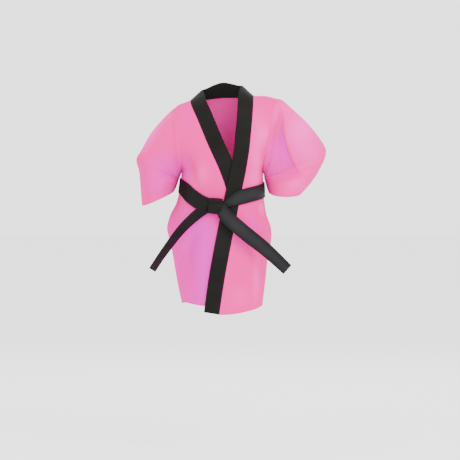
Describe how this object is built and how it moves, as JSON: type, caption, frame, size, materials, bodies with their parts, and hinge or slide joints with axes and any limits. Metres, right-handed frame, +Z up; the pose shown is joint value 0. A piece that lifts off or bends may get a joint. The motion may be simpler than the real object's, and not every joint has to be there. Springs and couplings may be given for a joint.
{
  "type": "child's happi coat",
  "caption": "Child's pink happi coat with a black band collar, wide open sleeves and a tied black belt, held in the hollow shape it has when worn.",
  "frame": {"origin": "between the shoulders, level with where the collar crosses the shoulder line, the middle of the place where the wearer holds the coat up", "axes": "+Z up, -Y out of the coat's front, +X towards the wearer's left"},
  "size_m": [0.5127, 0.2299, 0.6241],
  "materials": {
    "cloth": "plain-weave cotton and polyester, soft pink, faint sheen",
    "band": "doubled black plain weave, matt",
    "belt": "folded black plain weave, matt with a soft sheen"
  },
  "bodies": {
    "root": {"back": "cloth", "front_right": "cloth", "front_left": "cloth", "sleeve_right": "cloth", "sleeve_left": "cloth", "collar": "band", "belt_loop": "belt", "belt_knot": "belt", "belt_tail_right": "belt", "belt_tail_left": "belt"}
  },
  "joints": []
}
